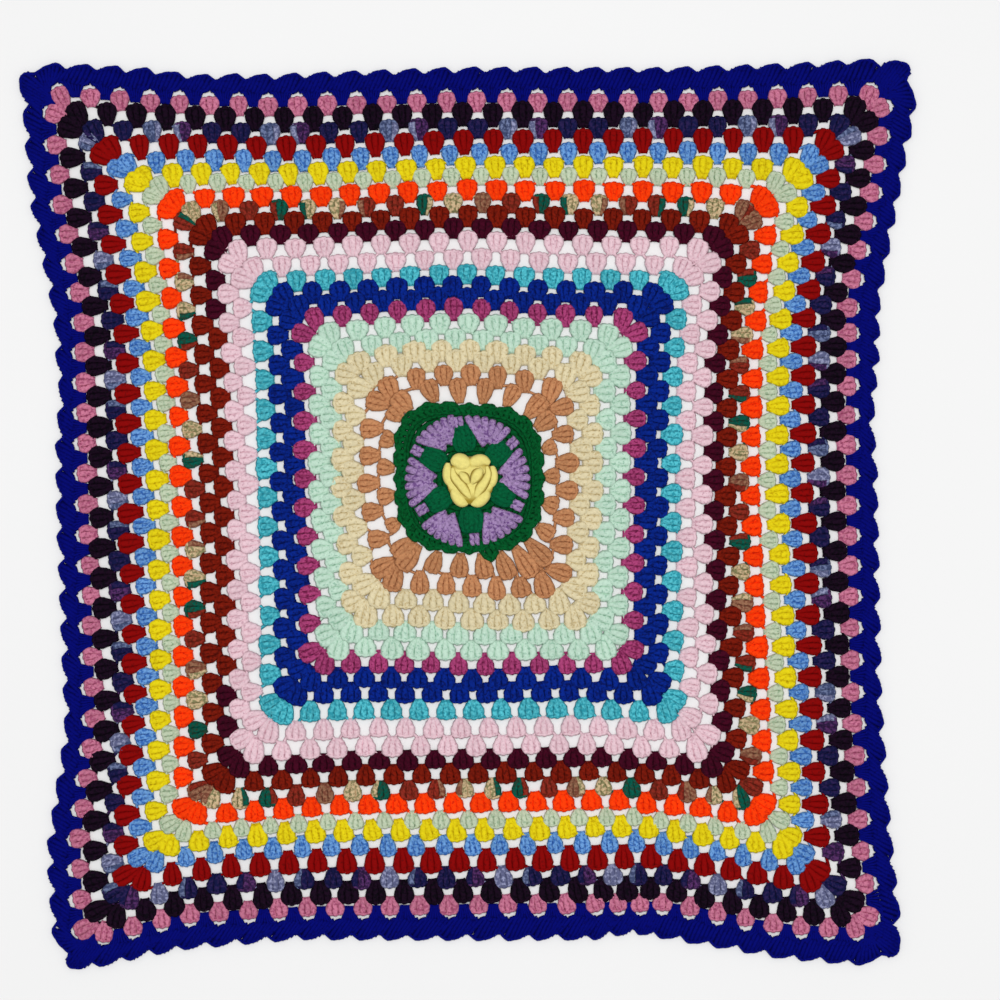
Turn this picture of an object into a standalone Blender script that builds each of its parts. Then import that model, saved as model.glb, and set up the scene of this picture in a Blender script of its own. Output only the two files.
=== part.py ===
"""A granny square blanket lying flat: the crocheted square with its scalloped hem, the round motif
that it is worked around, and the layered rose on the motif.

X runs to the right and Y to the top side, Z is up, and the blanket rests on Z = 0.
Constants are in metres. The two tables of rows are in millimetres, as MM says.
"""

import math
import random

import bmesh
import bpy
import numpy as np
from mathutils import Vector

MM = 0.001
CLOTH_THICKNESS = 0.0042
PIECE_GAP = 0.0003
ROSE_CENTRE = (0.0014, 0.0271)

SQUARE_COLOR = (0.30, 0.09, 0.13, 1.0)
MOTIF_COLOR = (0.02, 0.16, 0.07, 1.0)
ROSE_COLOR = (0.85, 0.74, 0.27, 1.0)
YARN_ROUGHNESS = 0.85

# The four sides in the order they are worked: the way along each side and the way out of it.
SIDES = {
    "top": ((1, 0), (0, 1)),
    "right": ((0, -1), (1, 0)),
    "bottom": ((-1, 0), (0, -1)),
    "left": ((0, 1), (-1, 0)),
}
SIDE_NAMES = tuple(SIDES)

# One row for each round of the square that the holes or the edge are measured from.
# Clusters a side, then how far the round lies from the rose at the middle of each side.
ROUNDS = {
    # clusters: (top, right, bottom, left)
    6: (76.0, 68.6, 73.0, 71.5),
    7: (89.6, 81.4, 88.5, 86.0),
    8: (100.7, 92.6, 100.7, 97.3),
    12: (145.6, 137.7, 156.6, 140.4),
    16: (190.0, 184.9, 208.7, 190.0),
    17: (201.3, 190.9, 222.0, 196.7),
    29: (350.2, 347.6, 391.4, 352.3),
}
EDGE_ROUND = 29

# How the rounds run along each side. The sides are drawn in at the middle and out at the corners.
KEY_ROUNDS = {
    # (clusters, along the side: start, middle, end, then how much further out than the middle:
    #  at the start, a tenth, a quarter, three quarters, nine tenths, the end)
    "top": (
        (6, -57, 0, 55, -14.0, -7.3, -1.0, -1.0, -8.0, -11.7),
        (13, -145, -4, 141, -6.8, -5.7, -3.6, -6.5, -4.9, -9.0),
        (20, -238, -3, 232, -11.3, -6.5, -5.0, -1.5, -3.4, -7.7),
        (24, -293, -6, 287, -11.7, -4.3, -5.3, 1.5, 1.0, -4.5),
        (28, -347, -8, 339, 2.2, -1.6, -4.7, -0.1, 3.6, 4.9),
        (29, -351, -7, 341, 5.1, 0.4, -3.0, 0.8, 2.5, 8.9),
    ),
    "right": (
        (6, -52, 7, 63, -7.1, -8.8, -2.3, -0.7, -2.8, -3.8),
        (13, -138, 9, 159, 1.8, 2.5, 1.2, -1.5, -0.9, -0.7),
        (20, -220, 15, 261, 9.4, 7.5, 0.7, 4.9, 9.2, 11.3),
        (24, -268, 10, 316, 23.5, 13.0, 1.7, 6.9, 11.3, 10.2),
        (28, -315, 9, 371, 27.6, 21.9, 1.2, 5.8, 9.3, 15.3),
        (29, -321, 10, 369, 31.9, 20.8, 7.2, 2.1, 11.5, 17.4),
    ),
    "bottom": (
        (6, -48, 0, 54, 0.9, 1.8, 3.6, -3.3, -2.6, -4.6),
        (13, -140, 1, 138, -1.7, -1.4, -1.2, -2.0, -2.6, -0.7),
        (20, -230, -6, 221, 8.7, 2.6, -1.8, 2.6, 7.5, 8.4),
        (24, -276, -12, 269, 13.8, 7.8, -3.9, 0.3, 6.8, 12.2),
        (28, -324, -16, 314, 18.3, 17.1, -2.5, 2.3, 8.5, 23.4),
        (29, -331, -17, 311, 19.6, 17.8, 6.0, 0.8, 8.9, 21.2),
    ),
    "left": (
        (6, -57, -1, 57, -12.0, -12.4, -5.6, -1.2, -4.5, -9.3),
        (13, -161, -13, 136, -4.1, -3.0, -2.7, 0.2, 2.7, 3.6),
        (20, -263, -20, 219, -3.8, -2.1, -0.4, 5.3, 8.9, 9.8),
        (24, -320, -26, 265, 1.5, 1.0, -2.7, 4.4, 15.0, 19.6),
        (28, -380, -32, 313, 3.1, 5.4, -5.6, 4.3, 23.4, 27.0),
        (29, -378, -32, 313, 4.2, 6.0, -6.0, 5.1, 21.2, 28.9),
    ),
}
RISE_STATIONS = (0.0, 0.1, 0.25, 0.5, 0.75, 0.9, 1.0)

# The scalloped hem: how deep its notches are on each side and which way its tips lean.
SCALLOPS = {
    # side: (depth, lean along the side from -1 to 1, share of unevenness)
    "top": (0.0056, 0.55, 0.15),
    "right": (0.0075, 0.10, 0.15),
    "bottom": (0.0065, 0.45, 0.45),
    "left": (0.0075, -0.30, 0.20),
}
SCALLOP_STEPS = (0.0, 0.16, 0.42, 0.68, 0.88)
SCALLOP_ROUNDNESS = 0.7
LOBE_ROUNDNESS = 0.4
SCALLOP_SEED = 11
# Where the hem is drawn in along each side: the share of the way along it, the half width of the dip
# as a share of the side, and the depth of the dip in millimetres.
HEM_PULLS = {
    "top": (0.18, 0.10, 3.5),
    "right": (0.36, 0.13, 8.5),
    "bottom": (0.33, 0.085, 9.0),
    "left": (0.55, 0.20, 3.0),
}
# The large lobe that ends each side, measured from the rose: across and up, in millimetres.
CORNER_LOBES = {
    "top": (374.4, 352.3),
    "right": (361.7, -405.9),
    "bottom": (-343.8, -412.7),
    "left": (-379.5, 346.4),
}

# The gaps that are cut through, one between every two neighbouring clusters of these rounds.
GAPS = {
    # clusters a side: (width at the inner end, width at the outer end, height, shift outwards)
    6: (0.0056, 0.0046, 0.0048, 0.0034),
    7: (0.0078, 0.0058, 0.0085, -0.0010),
    8: (0.0062, 0.0046, 0.0060, -0.0010),
    12: (0.0058, 0.0044, 0.0050, -0.0015),
    16: (0.0068, 0.0048, 0.0066, -0.0015),
    17: (0.0062, 0.0046, 0.0058, -0.0010),
}

# The motif is a rounded square with small points all round it, one corner pulled out and one spike.
MOTIF_CENTRE = (ROSE_CENTRE[0] - 0.0010, ROSE_CENTRE[1] + 0.0016)
MOTIF_RADIUS = 0.0632
MOTIF_SQUARENESS = 3.0
MOTIF_POINTS = 24
MOTIF_POINT_HEIGHT = 0.0013
MOTIF_PULL_ANGLE = math.radians(132)
MOTIF_PULL_REACH = 0.0055
MOTIF_SPIKE_ANGLE = math.radians(-75.0)
MOTIF_SPIKE_REACH = 0.0080
MOTIF_SPIKE_HALF_WIDTH = math.radians(7.5)
MOTIF_ANGLE_STEPS = 96
MOTIF_RADIUS_STEPS = 14
MOTIF_THICKNESS = 0.0040
RING_RELIEF = 0.0016
RING_INNER_SHARE = 0.84

CLUSTER_RELIEF = 0.0022
CLUSTER_DISTANCE = 0.0335
CLUSTER_HALF_SIZE = 0.0095
CLUSTER_ANGLES = tuple(math.radians(a) for a in (100, 43, -25, -90, -150, 150))
FAN_RELIEF = 0.0016
FAN_DISTANCE = 0.0460
FAN_HALF_SIZE = 0.0110
FAN_ANGLES = tuple(math.radians(a) for a in (128, 67, 7, -56, -118, 180))

# Petals of the rose: the way they point, how far out their middle lies, their length away from the
# centre, width across, height, and how high their middle lies over the motif.
ROSE_PETALS = (
    # (degrees, distance, length, width, height, lift)
    (116, 0.0160, 0.0185, 0.0235, 0.0080, 0.0030),
    (63, 0.0150, 0.0180, 0.0215, 0.0080, 0.0030),
    (12, 0.0150, 0.0180, 0.0225, 0.0080, 0.0030),
    (-63, 0.0150, 0.0190, 0.0220, 0.0080, 0.0030),
    (-114, 0.0150, 0.0190, 0.0220, 0.0080, 0.0030),
    (168, 0.0155, 0.0180, 0.0230, 0.0080, 0.0030),
    (165, 0.0095, 0.0110, 0.0220, 0.0100, 0.0050),
    (-20, 0.0095, 0.0110, 0.0230, 0.0100, 0.0050),
    (-100, 0.0090, 0.0120, 0.0180, 0.0100, 0.0048),
    (85, 0.0085, 0.0120, 0.0190, 0.0100, 0.0050),
    (155, 0.0042, 0.0085, 0.0150, 0.0100, 0.0070),
    (20, 0.0040, 0.0090, 0.0130, 0.0100, 0.0074),
)
ROSE_CORE_RADIUS = 0.0165
ROSE_CORE_HEIGHT = 0.0040


def clear_scene():
    for obj in list(bpy.data.objects):
        bpy.data.objects.remove(obj, do_unlink=True)


def new_collection(name, shown):
    collection = bpy.data.collections.new(name)
    bpy.context.scene.collection.children.link(collection)
    collection.hide_render = not shown
    return collection


def yarn_material(name, color):
    material = bpy.data.materials.new(name)
    material.use_nodes = True
    shader = material.node_tree.nodes["Principled BSDF"]
    shader.inputs["Base Color"].default_value = color
    shader.inputs["Roughness"].default_value = YARN_ROUGHNESS
    shader.inputs["Metallic"].default_value = 0.0
    return material


def new_object(name, mesh, collection, material=None):
    obj = bpy.data.objects.new(name, mesh)
    collection.objects.link(obj)
    if material:
        mesh.materials.append(material)
    return obj


def side_numbers(side, clusters):
    """The numbers of KEY_ROUNDS for one round, read between the key rounds on either side of it."""
    rows = np.array(KEY_ROUNDS[side], float)
    return [np.interp(clusters, rows[:, 0], rows[:, column]) for column in range(1, rows.shape[1])]


def place(side, along, out):
    """The point that lies this far along a side and out of it, measured from the rose."""
    way, outward = (Vector(v) for v in SIDES[side])
    return Vector(ROSE_CENTRE) + (way * along + outward * out) * MM


def round_point(clusters, side, share):
    """The point of a round at this share of the way along one side, from 0 to 1."""
    start, middle, end, *rises = side_numbers(side, clusters)
    along = start * (1 - share) * (1 - 2 * share)
    along += middle * 4 * share * (1 - share)
    along += end * share * (2 * share - 1)
    rise = np.interp(share, RISE_STATIONS, rises[:3] + [0.0] + rises[3:])
    return place(side, along, ROUNDS[clusters][SIDE_NAMES.index(side)] + rise)


def hem_pull(side, share):
    """How far the hem is drawn in at this share of the way along a side."""
    middle, half_width, depth = HEM_PULLS[side]
    off = min(1.0, abs(share - middle) / half_width)
    return depth * MM * math.cos(math.pi * off / 2) ** 2


def scallop_tips():
    """The tips of the hem in order round the blanket, each with its side, lean and roundness: one over
    each cluster of the last round but one, and one lobe at the end of each side."""
    tips = []
    last = EDGE_ROUND - 2
    for side, (_, outward) in SIDES.items():
        for i in range(last + 1):
            tip = round_point(EDGE_ROUND, side, i / last) - Vector(outward) * hem_pull(side, i / last)
            tips.append((tip, side, SCALLOPS[side][1], SCALLOP_ROUNDNESS))
        across, up = CORNER_LOBES[side]
        tips.append((Vector(ROSE_CENTRE) + Vector((across, up)) * MM, side, 0.0, LOBE_ROUNDNESS))
    return tips


def outward_of(a, b):
    """The unit vector out of the blanket where its edge runs from a to b, clockwise."""
    along = (b - a).normalized()
    return Vector((-along.y, along.x))


def hem_outline():
    """The edge of the blanket: a round scallop at each tip, leaning as its side does."""
    tips = scallop_tips()
    chance = random.Random(SCALLOP_SEED)
    notches = []
    for i, (tip, side, _, _) in enumerate(tips):
        depth, _, unevenness = SCALLOPS[side]
        following, _, lean, _ = tips[(i + 1) % len(tips)]
        middle = tip.lerp(following, 0.5 - 0.25 * lean)
        depth *= 1 + chance.uniform(-1, 1) * unevenness
        notches.append(middle - outward_of(tip, following) * depth)
    outline = []
    for i, (tip, _, lean, roundness) in enumerate(tips):
        before, after = notches[i - 1], notches[i]
        outward = outward_of(before, after)
        reach = (tip - before.lerp(after, 0.5)).dot(outward)
        for step in SCALLOP_STEPS:
            height = math.sin(math.pi * step ** (1 + 0.6 * lean)) ** roundness
            outline.append(before.lerp(after, step) + outward * reach * height)
    return outline


def gap_outline(centre, out, sizes):
    """The four corners of one gap: wider at its inner end, which points away from out."""
    inner_width, outer_width, height, shift = sizes
    across = Vector((-out.y, out.x))
    middle = centre + out * shift
    corners = []
    for width, way in ((inner_width, -1), (outer_width, 1)):
        for hand in (way, -way):
            corners.append(middle + out * way * height / 2 + across * hand * width / 2)
    return corners


def gap_outlines():
    """Every gap that is cut through: those along each side, and one at the corner after it."""
    found = []
    for clusters, sizes in GAPS.items():
        for number, side in enumerate(SIDE_NAMES):
            following = SIDE_NAMES[(number + 1) % len(SIDE_NAMES)]
            out = Vector(SIDES[side][1])
            for i in range(clusters - 1):
                centre = round_point(clusters, side, (i + 0.5) / (clusters - 1))
                found.append(gap_outline(centre, out, sizes))
            end = round_point(clusters, side, 1)
            start = round_point(clusters, following, 0)
            corner = (out + Vector(SIDES[following][1])).normalized()
            found.append(gap_outline((end + start) / 2 + corner * 0.002, corner, sizes))
    return found


def plain_motif_radius(angle):
    """How far the rounded square reaches at this angle, without its points."""
    square = abs(math.cos(angle)) ** MOTIF_SQUARENESS + abs(math.sin(angle)) ** MOTIF_SQUARENESS
    pull = max(0.0, math.cos(2 * (angle - MOTIF_PULL_ANGLE))) ** 2
    if math.cos(angle - MOTIF_PULL_ANGLE) < 0:
        pull = 0.0
    return MOTIF_RADIUS * square ** (-1 / MOTIF_SQUARENESS) + MOTIF_PULL_REACH * pull


def motif_radius(angle):
    """How far the motif reaches at this angle, with its points and its one long spike."""
    off = math.remainder(angle - MOTIF_SPIKE_ANGLE, 2 * math.pi) / MOTIF_SPIKE_HALF_WIDTH
    spike = MOTIF_SPIKE_REACH * max(0.0, 1 - abs(off))
    return plain_motif_radius(angle) + MOTIF_POINT_HEIGHT * math.cos(MOTIF_POINTS * angle) + spike


def motif_outline(extra):
    """The outline of the motif, pushed out by extra."""
    outline = []
    for i in range(MOTIF_ANGLE_STEPS):
        angle = 2 * math.pi * i / MOTIF_ANGLE_STEPS
        reach = motif_radius(angle) + extra
        outline.append(Vector(MOTIF_CENTRE) + Vector((math.cos(angle), math.sin(angle))) * reach)
    return outline


def add_loop(bm, outline, height):
    corners = [bm.verts.new((point.x, point.y, height)) for point in outline]
    for a, b in zip(corners, corners[1:] + corners[:1]):
        bm.edges.new((a, b))


def build_square(collection):
    """The crocheted square: a flat net of even thickness with its gaps and the motif's place cut out."""
    bm = bmesh.new()
    add_loop(bm, hem_outline(), 0.0)
    add_loop(bm, motif_outline(PIECE_GAP), 0.0)
    for outline in gap_outlines():
        add_loop(bm, outline, 0.0)
    bmesh.ops.triangle_fill(bm, use_beauty=False, edges=bm.edges[:], normal=(0, 0, 1))
    raised = bmesh.ops.extrude_face_region(bm, geom=bm.faces[:], use_keep_orig=True)["geom"]
    top = [item for item in raised if isinstance(item, bmesh.types.BMVert)]
    bmesh.ops.translate(bm, vec=(0, 0, CLOTH_THICKNESS), verts=top)
    bmesh.ops.recalc_face_normals(bm, faces=bm.faces[:])
    mesh = bpy.data.meshes.new("granny_square")
    bm.to_mesh(mesh)
    bm.free()
    return new_object("granny_square", mesh, collection, yarn_material("mixed_yarn", SQUARE_COLOR))


def bump(x, y, angles, distance, half_size):
    """From 0 to 1, how far up one of the round bumps at these angles this point lies."""
    best = 0.0
    for angle in angles:
        off = math.hypot(x - distance * math.cos(angle), y - distance * math.sin(angle)) / half_size
        best = max(best, 1 - off**4)
    return max(0.0, best)


def motif_height(x, y, share):
    """The top of the motif: green clusters and purple fans inside a raised ring."""
    clusters = CLUSTER_RELIEF * bump(x, y, CLUSTER_ANGLES, CLUSTER_DISTANCE, CLUSTER_HALF_SIZE)
    fans = FAN_RELIEF * bump(x, y, FAN_ANGLES, FAN_DISTANCE, FAN_HALF_SIZE)
    ring = 0.0
    if share >= RING_INNER_SHARE:
        across = (share - RING_INNER_SHARE) / (1 - RING_INNER_SHARE)
        ring = RING_RELIEF * math.sin(math.pi * min(1.0, 0.15 + 0.85 * across)) ** 0.5
    return MOTIF_THICKNESS + max(clusters, fans, ring)


def build_motif(collection):
    """The round centre motif, with a flat underside and its stitches in relief."""
    bm = bmesh.new()
    across, up = MOTIF_CENTRE
    floor = [bm.verts.new((p.x, p.y, 0.0)) for p in motif_outline(0.0)]
    rings = [floor]
    for level in range(MOTIF_RADIUS_STEPS, 0, -1):
        share = level / MOTIF_RADIUS_STEPS
        ring = []
        for i in range(MOTIF_ANGLE_STEPS):
            angle = 2 * math.pi * i / MOTIF_ANGLE_STEPS
            reach = share * plain_motif_radius(angle)
            if level == MOTIF_RADIUS_STEPS:
                reach = motif_radius(angle)
            x, y = reach * math.cos(angle), reach * math.sin(angle)
            ring.append(bm.verts.new((across + x, up + y, motif_height(x, y, share))))
        rings.append(ring)
    for lower, upper in zip(rings, rings[1:]):
        for i in range(MOTIF_ANGLE_STEPS):
            j = (i + 1) % MOTIF_ANGLE_STEPS
            bm.faces.new((lower[i], lower[j], upper[j], upper[i]))
    bm.faces.new(floor[::-1])
    bm.faces.new(rings[-1])
    bmesh.ops.triangulate(bm, faces=bm.faces[:])
    bmesh.ops.recalc_face_normals(bm, faces=bm.faces[:])
    mesh = bpy.data.meshes.new("rose_motif")
    bm.to_mesh(mesh)
    bm.free()
    return new_object("rose_motif", mesh, collection, yarn_material("green_yarn", MOTIF_COLOR))


def rounded_blob(name, centre, sizes, turn, collection):
    """A flattened ball of these sizes, turned about Z, as a helper for the rose."""
    bm = bmesh.new()
    bmesh.ops.create_uvsphere(bm, u_segments=14, v_segments=8, radius=0.5)
    bmesh.ops.scale(bm, vec=sizes, verts=bm.verts[:])
    mesh = bpy.data.meshes.new(name)
    bm.to_mesh(mesh)
    bm.free()
    obj = new_object(name, mesh, collection)
    obj.rotation_euler.z = turn
    obj.location = centre
    obj.hide_render = True
    obj.display_type = "WIRE"
    return obj


def rose_core(seat, collection, material):
    """The flat bud that the petals grow from, which sits on the motif."""
    bm = bmesh.new()
    bmesh.ops.create_cone(
        bm,
        cap_ends=True,
        segments=24,
        radius1=ROSE_CORE_RADIUS,
        radius2=ROSE_CORE_RADIUS * 0.9,
        depth=ROSE_CORE_HEIGHT,
    )
    bmesh.ops.translate(bm, vec=(*ROSE_CENTRE, seat + ROSE_CORE_HEIGHT / 2), verts=bm.verts[:])
    mesh = bpy.data.meshes.new("rose")
    bm.to_mesh(mesh)
    bm.free()
    return new_object("rose", mesh, collection, material)


def seat_cutter(seat, collection):
    """A block under the rose that cuts its underside flat."""
    bm = bmesh.new()
    bmesh.ops.create_cube(bm, size=0.1)
    bmesh.ops.translate(bm, vec=(*ROSE_CENTRE, seat - 0.05), verts=bm.verts[:])
    mesh = bpy.data.meshes.new("seat_cutter")
    bm.to_mesh(mesh)
    bm.free()
    obj = new_object("seat_cutter", mesh, collection)
    obj.hide_render = True
    obj.display_type = "WIRE"
    return obj


def add_boolean(obj, other, operation):
    modifier = obj.modifiers.new(other.name, "BOOLEAN")
    modifier.operation = operation
    modifier.solver = "EXACT"
    modifier.object = other


def build_rose(collection, helpers):
    """The layered rose: a bud with puffed petals joined to it, cut flat where it is sewn down."""
    seat = MOTIF_THICKNESS + PIECE_GAP
    rose = rose_core(seat, collection, yarn_material("rose_yarn", ROSE_COLOR))
    for number, (degrees, distance, length, width, height, lift) in enumerate(ROSE_PETALS):
        turn = math.radians(degrees)
        centre = (
            ROSE_CENTRE[0] + distance * math.cos(turn),
            ROSE_CENTRE[1] + distance * math.sin(turn),
            seat + lift,
        )
        petal = rounded_blob(f"petal_{number}", centre, (length, width, height), turn, helpers)
        add_boolean(rose, petal, "UNION")
    add_boolean(rose, seat_cutter(seat, helpers), "DIFFERENCE")
    return rose


def main():
    clear_scene()
    blanket = new_collection("granny_square_blanket", shown=True)
    helpers = new_collection("helpers", shown=False)
    build_square(blanket)
    build_motif(blanket)
    build_rose(blanket, helpers)


main()
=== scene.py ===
"""The granny square blanket as it looks: every cluster of its rounds is worked in yarn, three posts under
a braided top, with the shells of the hem, the round centre motif and the layered rose.

X runs to the right, Y to the top side and Z up, and the blanket lies on Z = 0. Lengths are in metres,
and in millimetres where a comment says so.
"""

import math

import bpy
import numpy as np
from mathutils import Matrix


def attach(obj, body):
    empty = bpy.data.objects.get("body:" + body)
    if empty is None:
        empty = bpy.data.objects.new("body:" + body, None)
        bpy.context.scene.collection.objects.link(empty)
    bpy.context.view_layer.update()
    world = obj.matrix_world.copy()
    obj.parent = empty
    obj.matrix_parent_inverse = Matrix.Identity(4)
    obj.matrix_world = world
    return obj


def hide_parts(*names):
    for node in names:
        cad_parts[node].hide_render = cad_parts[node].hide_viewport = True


MM = 0.001
ROSE_CENTRE = (0.0014, 0.0271)
# What the materials read from a mesh: how far along and round its strand a point is, and its tone, which
# on the petals is how strongly painted shade darkens their rims.
STRAND_COORDS = "along_and_around"
TONE = "tone"

# The four sides in the order they are worked: the way along each side and the way out of it.
SIDES = {
    "top": ((1, 0), (0, 1)),
    "right": ((0, -1), (1, 0)),
    "bottom": ((-1, 0), (0, -1)),
    "left": ((0, 1), (-1, 0)),
}
SIDE_NAMES = tuple(SIDES)

# One row for each round, in millimetres: its clusters a side, its yarn, how far it lies from the rose at
# the middle of the top, right, bottom and left side, and how wide and how tall its clusters are.
ROUNDS = {
    6: ("terracotta", (77.6, 66.7, 73.6, 70.7), (15.6, 18.0)),
    7: ("terracotta", (89.6, 81.3, 89.3, 86.2), (17.0, 18.4)),
    8: ("beige", (101.6, 93.3, 103.7, 100.0), (20.0, 17.4)),
    9: ("beige", (110.2, 102.8, 117.4, 108.8), (20.0, 17.4)),
    10: ("mint", (119.6, 114.4, 129.9, 118.5), (19.8, 17.0)),
    11: ("mint", (133.0, 126.6, 143.9, 127.8), (19.8, 17.0)),
    12: ("magenta", (145.2, 138.5, 155.5, 139.9), (16.6, 18.1)),
    13: ("royal", (154.8, 148.3, 168.9, 149.2), (18.3, 17.7)),
    14: ("royal", (165.1, 158.2, 180.2, 159.8), (18.1, 17.4)),
    15: ("turquoise", (175.1, 170.0, 194.3, 172.1), (18.0, 16.5)),
    16: ("blush", (187.9, 182.0, 209.5, 187.6), (17.8, 16.2)),
    17: ("blush", (203.0, 196.0, 224.8, 198.3), (17.8, 16.4)),
    18: ("burgundy", (214.2, 205.7, 236.1, 208.6), (18.7, 16.0)),
    19: ("rust", (224.2, 216.5, 247.8, 220.5), (17.6, 17.1)),
    20: ("earth", (235.6, 227.0, 261.0, 233.5), (15.8, 16.6)),
    21: ("orange", (246.2, 237.5, 273.0, 244.4), (18.3, 16.3)),
    22: ("sage", (258.0, 251.3, 287.5, 255.3), (15.2, 14.4)),
    23: ("yellow", (265.2, 259.9, 296.2, 264.8), (17.7, 18.0)),
    24: ("sky", (276.4, 271.0, 309.3, 276.8), (15.2, 17.8)),
    25: ("red", (287.2, 281.7, 322.0, 288.3), (17.6, 20.0)),
    26: ("dusk", (298.6, 294.9, 336.3, 298.8), (17.0, 17.2)),
    27: ("plum", (310.2, 307.2, 348.1, 312.7), (18.1, 20.3)),
    28: ("rose_pink", (320.9, 318.8, 359.3, 324.1), (17.4, 15.0)),
    29: ("navy", (351.4, 346.0, 391.1, 351.9), (0.0, 0.0)),
}
EDGE_ROUND = 29
# The rounds of each piece of the blanket. The braids of all the rounds are one more piece.
PIECES = {
    "rounds_inner": range(6, 15),
    "rounds_middle": range(15, 21),
    "rounds_outer": range(21, 25),
    "rounds_edge": range(25, 30),
}
BRAIDS = "round_braids"

# How the rounds run along each side, in millimetres: the clusters of a round, where it starts, where its
# middle is and where it ends, and how much further out than the middle it lies at the other stations.
RISE_STATIONS = (0.0, 0.1, 0.25, 0.5, 0.75, 0.9, 1.0)
KEY_ROUNDS = {
    "top": (
        (6, -57, 1, 57, -12.1, -5.5, -0.5, -3.0, -8.8, -13.4),
        (13, -145, -3, 141, -6.6, -6.1, -2.7, -5.7, -5.4, -7.3),
        (20, -237, -2, 232, -7.7, -6.7, -5.3, -2.0, -3.3, -6.6),
        (24, -291, -5, 287, -8.3, -4.7, -5.5, 1.8, 0.9, -0.1),
        (28, -349, -7, 339, 5.5, -0.5, -4.2, -0.6, 3.3, 6.3),
        (29, -353, -9, 339, 3.4, -0.1, -6.4, -0.4, 3.0, 6.8),
    ),
    "right": (
        (6, -50, 8, 65, -3.7, -6.7, 0.4, -3.9, -5.6, -5.3),
        (13, -138, 9, 156, 3.0, 2.1, 0.4, -0.9, -0.8, 0.9),
        (20, -220, 14, 260, 11.7, 8.0, 1.3, 4.6, 9.4, 12.1),
        (24, -267, 11, 316, 24.4, 13.6, 1.3, 7.1, 10.1, 11.2),
        (28, -316, 10, 372, 29.0, 21.0, 0.3, 4.0, 10.1, 18.7),
        (29, -316, 10, 371, 32.7, 20.3, 2.2, 3.7, 11.3, 19.1),
    ),
    "bottom": (
        (6, -49, -1, 54, 0.3, 0.4, 3.2, -3.1, -3.8, -5.7),
        (13, -141, -1, 135, -0.5, -0.9, -2.2, -1.9, -2.5, 1.1),
        (20, -230, -7, 220, 9.7, 3.1, -1.6, 2.6, 8.0, 9.4),
        (24, -276, -13, 267, 16.3, 7.1, -3.9, 0.2, 4.8, 14.1),
        (28, -324, -17, 313, 20.5, 17.6, -1.7, 2.4, 8.6, 24.2),
        (29, -325, -16, 316, 20.9, 15.6, -1.3, -0.8, 8.1, 21.7),
    ),
    "left": (
        (6, -59, -1, 56, -12.6, -13.1, -5.6, -2.1, -4.9, -8.1),
        (13, -160, -12, 136, -2.7, -2.6, -2.8, 0.2, 1.9, 3.6),
        (20, -263, -20, 219, -2.5, -2.3, -0.1, 5.3, 9.6, 10.0),
        (24, -320, -26, 264, 4.9, 0.6, -3.4, 3.6, 14.0, 22.2),
        (28, -380, -32, 313, 4.4, 7.8, -5.6, 3.6, 23.0, 28.3),
        (29, -382, -34, 312, 3.9, 8.7, -7.0, 2.2, 23.1, 28.3),
    ),
}

# How far the clusters of the last rounds run ahead, at even steps along each side: in millimetres for
# the hem, and less and less for the rounds inside it.
DRIFTS = {
    "top": (1.5, 2.0, 1.0, -0.5, -0.5, 0.5, 1.0, -1.5, -1.0),
    "right": (0.0, 3.5, 6.5, -3.5, -2.0, -2.5, 0.0, -1.0, -3.0),
    "bottom": (-3.5, 1.5, 7.0, -9.0, -3.0, 2.5, -1.0, 1.5, -3.0),
    "left": (-1.0, -2.0, -3.0, -1.5, -1.0, 0.0, 0.0, -3.0, -3.0),
}
DRIFT_ROUNDS = 4

# The scalloped hem, one row for each side: how deep its notches are and how uneven, the middle and the
# half width of the dip where it is drawn in, as shares of the side, with its depth in millimetres, and
# the tip of the large lobe that ends the side, across and up from the rose, in millimetres.
HEM = {
    "top": ((0.0055, 0.10), (0.17, 0.07, 3.0), (374.4, 352.3)),
    "right": ((0.0058, 0.15), (0.41, 0.08, 3.5), (361.7, -405.9)),
    "bottom": ((0.0057, 0.20), (0.31, 0.07, 4.5), (-343.8, -412.7)),
    "left": ((0.0063, 0.15), (0.66, 0.07, 3.5), (-381.5, 351.2)),
}
# How far a notch lies on the way to the next tip, and how far off that at an unevenness of 1.
NOTCH_PLACE = 0.335
NOTCH_SHIFT = 0.30
SCALLOP_SEED = 11
# How full a scallop is before and after its tip: the lower, the fuller.
SCALLOP_SHAPE = (0.93, 1.35)
LOBE_SHAPE = (0.4, 0.4)
# The shares of the way from notch to notch between which a tip lies.
TIP_PLACES = (0.25, 0.75)

# How often the two plies of a strand wind round it in a metre, and how far they stand out, as a share.
TWIST_PER_METRE = 100.0
TWIST_DEPTH = 0.09
STRAND_SIDES = 6

# One cluster from its foot to its top: its half width as a share of its full width, the radius of each
# of its three posts as a share of that, and how high their middle lines lie.
CLUSTER_STATIONS = (0.0, 0.14, 0.28, 0.42, 0.56, 0.70, 0.84, 1.0)
CLUSTER_OUTLINE = (0.20, 0.27, 0.35, 0.42, 0.475, 0.50, 0.485, 0.39)
POST_SHARE = (0.46, 0.43, 0.405, 0.385, 0.375, 0.37, 0.365, 0.40)
POST_LEVEL = (0.0017, 0.0020, 0.0024, 0.0028, 0.0031, 0.0033, 0.0032, 0.0027)
POST_RINGS = 8
POST_FLATNESS = 0.80
# How much shorter the outer posts are, as a share, and how uneven posts are in height and tone.
POST_SHOULDER = 0.06
POST_LIFT = 0.0003
POST_TONE = 0.3
# How far the top of a cluster strays, and how uneven its size is, as a share.
CLUSTER_SEED = 5
CLUSTER_SHIFT = 0.0007
CLUSTER_GROWTH = 0.07
# A cluster stops this far short of the point where it is worked in.
FOOT_LIFT = 0.0020
# The next round's corner pair is worked in this much further out than the middle of a corner pair, and
# reaches in by half its height and this share of the rest of the way.
CORNER_REACH = 0.0030
CORNER_STRETCH = 0.5
# How much wider the corner clusters of the first round are.
CORNER_GROWTH = 1.15

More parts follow.
